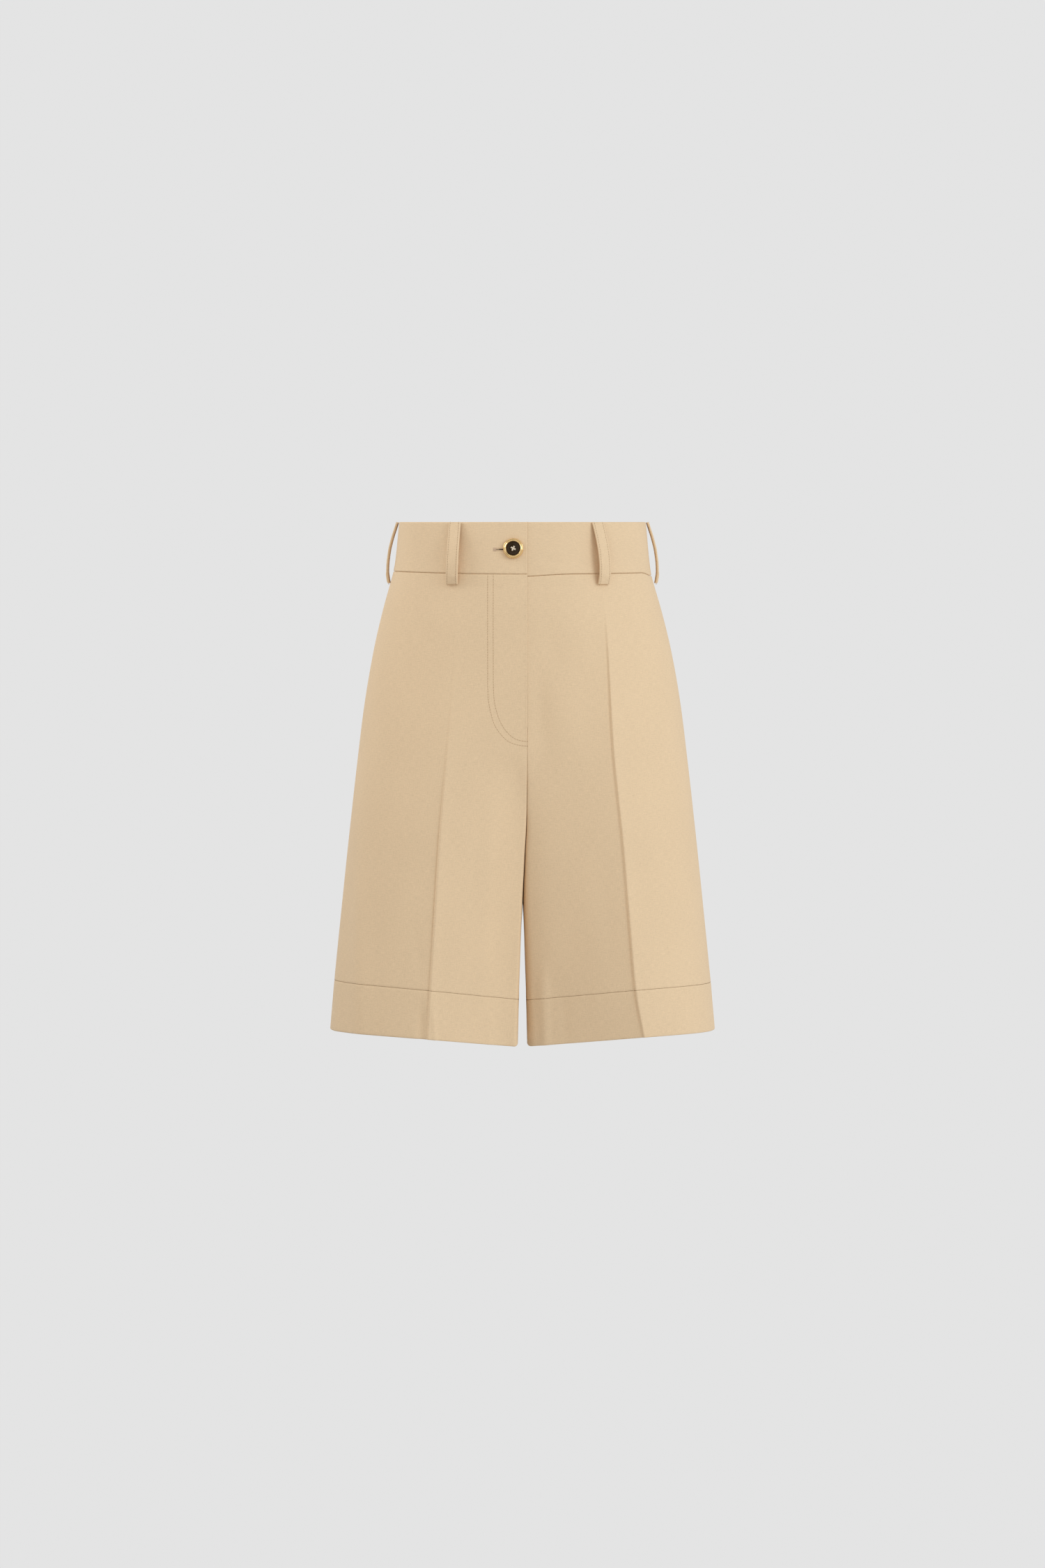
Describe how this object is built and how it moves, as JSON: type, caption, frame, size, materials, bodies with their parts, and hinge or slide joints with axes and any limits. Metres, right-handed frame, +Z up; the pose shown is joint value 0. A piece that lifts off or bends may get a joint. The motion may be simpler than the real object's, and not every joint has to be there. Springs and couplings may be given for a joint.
{
  "type": "bermuda shorts",
  "caption": "Bermuda shorts in pressed beige gabardine, filled out and hollow, with belt loops, a lapped fly front and a rimmed waist button.",
  "frame": {"origin": "middle of the waist, level with the waistband's top edge, where the wearer's waist holds the garment up", "axes": "+Z up along the body, -Y out of the front, +X towards the wearer's left"},
  "size_m": [0.3824, 0.2295, 0.5183],
  "materials": {
    "cotton_gabardine": "fine steep twill, matt with a slight sheen, pressed",
    "gold_metal": "polished, gold tone",
    "dark_horn": "dark brown imitation horn, polished"
  },
  "bodies": {
    "root": {"front_right": "cotton_gabardine", "front_left": "cotton_gabardine", "back_right": "cotton_gabardine", "back_left": "cotton_gabardine", "waistband": "cotton_gabardine", "fly_shield": "cotton_gabardine", "belt_loop_front_right": "cotton_gabardine", "belt_loop_front_left": "cotton_gabardine", "belt_loop_side_right": "cotton_gabardine", "belt_loop_side_left": "cotton_gabardine", "belt_loop_back": "cotton_gabardine", "button_rim": "gold_metal", "button_face": "dark_horn"}
  },
  "joints": []
}
